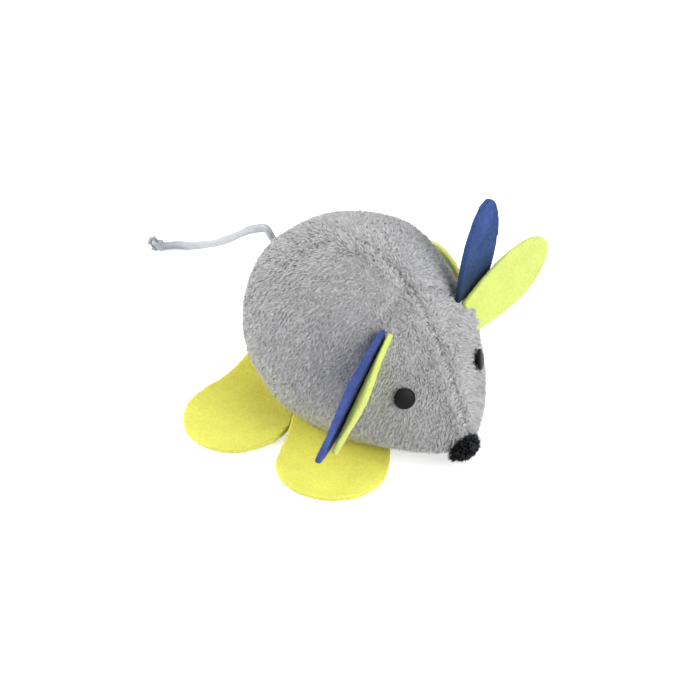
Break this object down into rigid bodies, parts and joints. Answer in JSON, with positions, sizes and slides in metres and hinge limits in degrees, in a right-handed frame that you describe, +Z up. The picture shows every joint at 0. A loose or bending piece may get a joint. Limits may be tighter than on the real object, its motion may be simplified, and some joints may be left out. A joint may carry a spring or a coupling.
{
  "type": "plush toy mouse",
  "caption": "Small stuffed plush mouse for a pet, with felt petals for ears and feet, button eyes, a pompom nose and a knotted cord tail.",
  "frame": {"origin": "on the floor, under the middle of the mouse's bounding box measured without its tail", "axes": "+X the way the mouse looks, +Y to its left side, +Z up"},
  "size_m": [0.1406, 0.0906, 0.0636],
  "materials": {
    "grey_plush": "short soft pile",
    "fibre_filling": "loose polyester fibre",
    "blue_felt": "pressed felt",
    "lime_felt": "pressed felt",
    "yellow_felt": "pressed felt",
    "eye_plastic": "satin moulded",
    "washer_plastic": "moulded",
    "pompom_yarn": "cut yarn tuft",
    "satin_cord": "satin twisted cord"
  },
  "bodies": {
    "plush": {"right_side_panel": "grey_plush", "left_side_panel": "grey_plush", "belly_panel": "grey_plush", "stuffing": "fibre_filling", "right_eye": "eye_plastic", "right_eye_washer": "washer_plastic", "left_eye": "eye_plastic", "left_eye_washer": "washer_plastic", "nose": "pompom_yarn", "tail_cord": "satin_cord", "tail_knot": "satin_cord"},
    "right_ear_blue": {"right_ear_blue": "blue_felt"},
    "right_ear_lime": {"right_ear_lime": "lime_felt"},
    "left_ear_blue": {"left_ear_blue": "blue_felt"},
    "left_ear_lime": {"left_ear_lime": "lime_felt"},
    "right_front_foot": {"right_front_foot": "yellow_felt"},
    "right_rear_foot": {"right_rear_foot": "yellow_felt"},
    "left_front_foot": {"left_front_foot": "yellow_felt"},
    "left_rear_foot": {"left_rear_foot": "yellow_felt"}
  },
  "joints": [
    {"name": "right_ear_blue_fold", "type": "hinge", "parent": "plush", "child": "right_ear_blue", "pos_m": [0.01936, -0.01895, 0.03402], "axis": [-0.0149, 0.6133, 0.7897], "range_deg": [-25, 0], "stiffness_Nm_per_rad": 0.003},
    {"name": "right_ear_lime_fold", "type": "hinge", "parent": "plush", "child": "right_ear_lime", "pos_m": [0.02123, -0.01797, 0.03324], "axis": [0.0234, 0.6407, 0.7674], "range_deg": [0, 35], "stiffness_Nm_per_rad": 0.003},
    {"name": "left_ear_blue_fold", "type": "hinge", "parent": "plush", "child": "left_ear_blue", "pos_m": [0.01961, 0.01747, 0.03382], "axis": [-0.117, 0.7022, -0.7023], "range_deg": [-30, 0], "stiffness_Nm_per_rad": 0.003},
    {"name": "left_ear_lime_fold", "type": "hinge", "parent": "plush", "child": "left_ear_lime", "pos_m": [0.02311, 0.01788, 0.03385], "axis": [0.1729, 0.4762, -0.8622], "range_deg": [0, 20], "stiffness_Nm_per_rad": 0.003},
    {"name": "right_front_foot_fold", "type": "hinge", "parent": "plush", "child": "right_front_foot", "pos_m": [0.00912, -0.01808, 0.00304], "axis": [-0.8829, -0.4695, 0], "range_deg": [0, 25], "stiffness_Nm_per_rad": 0.004},
    {"name": "right_rear_foot_fold", "type": "hinge", "parent": "plush", "child": "right_rear_foot", "pos_m": [-0.02364, -0.01338, 0.00641], "axis": [-0.9703, -0.2419, 0], "range_deg": [0, 25], "stiffness_Nm_per_rad": 0.004},
    {"name": "left_front_foot_fold", "type": "hinge", "parent": "plush", "child": "left_front_foot", "pos_m": [0.00918, 0.0185, 0.00374], "axis": [0.8829, 0, 0.4695], "range_deg": [-30, 0], "stiffness_Nm_per_rad": 0.004},
    {"name": "left_rear_foot_fold", "type": "hinge", "parent": "plush", "child": "left_rear_foot", "pos_m": [-0.02346, 0.01302, 0.00641], "axis": [0.9903, 0.1392, 0], "range_deg": [0, 25], "stiffness_Nm_per_rad": 0.004}
  ]
}
